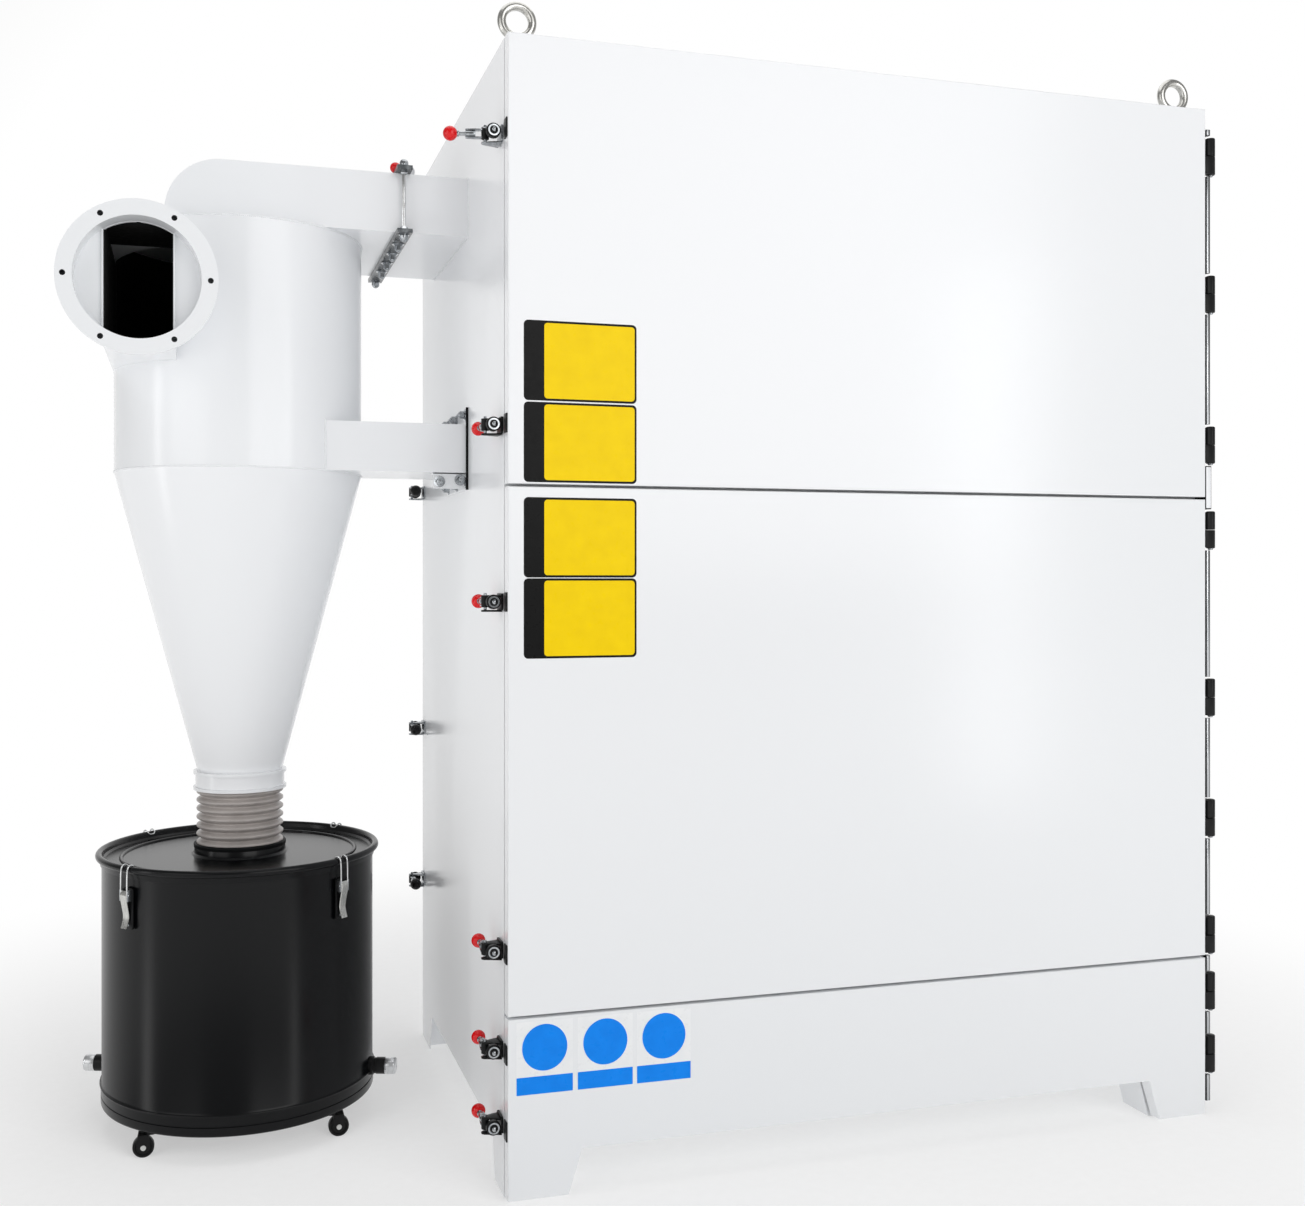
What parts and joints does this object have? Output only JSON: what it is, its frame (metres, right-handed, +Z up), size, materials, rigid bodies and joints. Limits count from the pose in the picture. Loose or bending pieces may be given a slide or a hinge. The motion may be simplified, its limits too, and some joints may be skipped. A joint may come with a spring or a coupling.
{
  "type": "cyclone separator with dust collector cabinet",
  "caption": "Cyclone separator with flanged tangential inlet and wheeled dust drum, joined by a duct to a steel dust collector cabinet with hinged doors.",
  "frame": {"origin": "on the floor, in the middle of the overall box", "axes": "+X to the right along the door fronts, +Y from the doors to the back, +Z up"},
  "size_m": [2.23, 0.961, 2.1289],
  "materials": {
    "white_paint": "gloss powder coat",
    "black_paint": "satin black coat",
    "black_cast": "black coated die-cast metal",
    "chrome": "chrome plate",
    "steel": "stainless steel",
    "zinc": "bright zinc plate",
    "grey_hose": "ribbed flexible hose",
    "black_rubber": "black tyre rubber"
  },
  "bodies": {
    "cabinet": {"left_side_panel": "white_paint", "right_side_panel": "white_paint", "roof_panel": "white_paint", "base_panel": "white_paint", "back_panel": "white_paint", "door_frame": "white_paint", "corner_feet": "white_paint", "barrel": "white_paint", "cone": "white_paint", "barrel_top_plate": "white_paint", "vortex_finder": "white_paint", "discharge_collar": "white_paint", "inlet_box": "white_paint", "inlet_spigot": "white_paint", "inlet_flange": "white_paint", "outlet_hood": "white_paint", "cabinet_duct": "white_paint", "support_arm": "white_paint", "arm_flange": "white_paint", "drum_body": "black_paint", "drum_lid": "black_paint", "frame_hinge_leaves": "black_cast", "clamp_bases": "black_cast", "back_clamp_bases": "black_cast", "back_clamp_levers": "chrome", "duct_tie_rods": "chrome", "drum_latches": "chrome", "hinge_strip": "steel", "duct_joint_bars": "steel", "drum_handles": "steel", "lifting_eyes": "zinc", "caster_plates": "zinc", "bellows_hose": "grey_hose"},
    "upper_door": {"upper_door": "white_paint", "upper_door_hinge_leaves": "black_cast"},
    "middle_door": {"middle_door": "white_paint", "middle_door_hinge_leaves": "black_cast"},
    "lower_door": {"lower_door": "white_paint", "lower_door_hinge_leaves": "black_cast"},
    "clamp_lever_1": {"clamp_lever_1": "chrome"},
    "clamp_lever_2": {"clamp_lever_2": "chrome"},
    "clamp_lever_3": {"clamp_lever_3": "chrome"},
    "clamp_lever_4": {"clamp_lever_4": "chrome"},
    "clamp_lever_5": {"clamp_lever_5": "chrome"},
    "clamp_lever_6": {"clamp_lever_6": "chrome"},
    "caster_fork_1": {"caster_fork_1": "zinc"},
    "caster_wheel_1": {"caster_wheel_1": "black_rubber"},
    "caster_fork_2": {"caster_fork_2": "zinc"},
    "caster_wheel_2": {"caster_wheel_2": "black_rubber"},
    "caster_fork_3": {"caster_fork_3": "zinc"},
    "caster_wheel_3": {"caster_wheel_3": "black_rubber"},
    "caster_fork_4": {"caster_fork_4": "zinc"},
    "caster_wheel_4": {"caster_wheel_4": "black_rubber"}
  },
  "joints": [
    {"name": "upper_door_hinge", "type": "hinge", "parent": "cabinet", "child": "upper_door", "pos_m": [1.106, -0.4715, 1.655], "axis": [0, 0, 1], "range_deg": [0, 110]},
    {"name": "middle_door_hinge", "type": "hinge", "parent": "cabinet", "child": "middle_door", "pos_m": [1.106, -0.4715, 0.79], "axis": [0, 0, 1], "range_deg": [0, 110]},
    {"name": "lower_door_hinge", "type": "hinge", "parent": "cabinet", "child": "lower_door", "pos_m": [1.106, -0.4715, 0.165], "axis": [0, 0, 1], "range_deg": [0, 110]},
    {"name": "clamp_lever_1_swing", "type": "hinge", "parent": "cabinet", "child": "clamp_lever_1", "pos_m": [-0.391, -0.4215, 1.885], "axis": [0, 0, 1], "range_deg": [-78, 72]},
    {"name": "clamp_lever_2_swing", "type": "hinge", "parent": "cabinet", "child": "clamp_lever_2", "pos_m": [-0.391, -0.4215, 1.367], "axis": [0, 0, 1], "range_deg": [0, 150]},
    {"name": "clamp_lever_3_swing", "type": "hinge", "parent": "cabinet", "child": "clamp_lever_3", "pos_m": [-0.391, -0.4215, 1.053], "axis": [0, 0, 1], "range_deg": [0, 150]},
    {"name": "clamp_lever_4_swing", "type": "hinge", "parent": "cabinet", "child": "clamp_lever_4", "pos_m": [-0.391, -0.4215, 0.435], "axis": [0, 0, 1], "range_deg": [0, 150]},
    {"name": "clamp_lever_5_swing", "type": "hinge", "parent": "cabinet", "child": "clamp_lever_5", "pos_m": [-0.391, -0.4215, 0.259], "axis": [0, 0, 1], "range_deg": [0, 150]},
    {"name": "clamp_lever_6_swing", "type": "hinge", "parent": "cabinet", "child": "clamp_lever_6", "pos_m": [-0.391, -0.4215, 0.125], "axis": [0, 0, 1], "range_deg": [0, 150]},
    {"name": "caster_1_swivel", "type": "hinge", "parent": "cabinet", "child": "caster_fork_1", "pos_m": [-0.9663, -0.0818, 0.05], "axis": [0, 0, 1], "continuous": true},
    {"name": "caster_1_roll", "type": "hinge", "parent": "caster_fork_1", "child": "caster_wheel_1", "pos_m": [-0.9803, -0.0818, 0.02], "axis": [0, 1, 0], "continuous": true},
    {"name": "caster_2_swivel", "type": "hinge", "parent": "cabinet", "child": "caster_fork_2", "pos_m": [-0.6297, -0.0818, 0.05], "axis": [0, 0, 1], "continuous": true},
    {"name": "caster_2_roll", "type": "hinge", "parent": "caster_fork_2", "child": "caster_wheel_2", "pos_m": [-0.6157, -0.0818, 0.02], "axis": [0, 1, 0], "continuous": true},
    {"name": "caster_3_swivel", "type": "hinge", "parent": "cabinet", "child": "caster_fork_3", "pos_m": [-0.6297, 0.2548, 0.05], "axis": [0, 0, 1], "continuous": true},
    {"name": "caster_3_roll", "type": "hinge", "parent": "caster_fork_3", "child": "caster_wheel_3", "pos_m": [-0.6157, 0.2548, 0.02], "axis": [0, 1, 0], "continuous": true},
    {"name": "caster_4_swivel", "type": "hinge", "parent": "cabinet", "child": "caster_fork_4", "pos_m": [-0.9663, 0.2548, 0.05], "axis": [0, 0, 1], "continuous": true},
    {"name": "caster_4_roll", "type": "hinge", "parent": "caster_fork_4", "child": "caster_wheel_4", "pos_m": [-0.9803, 0.2548, 0.02], "axis": [0, 1, 0], "continuous": true}
  ]
}
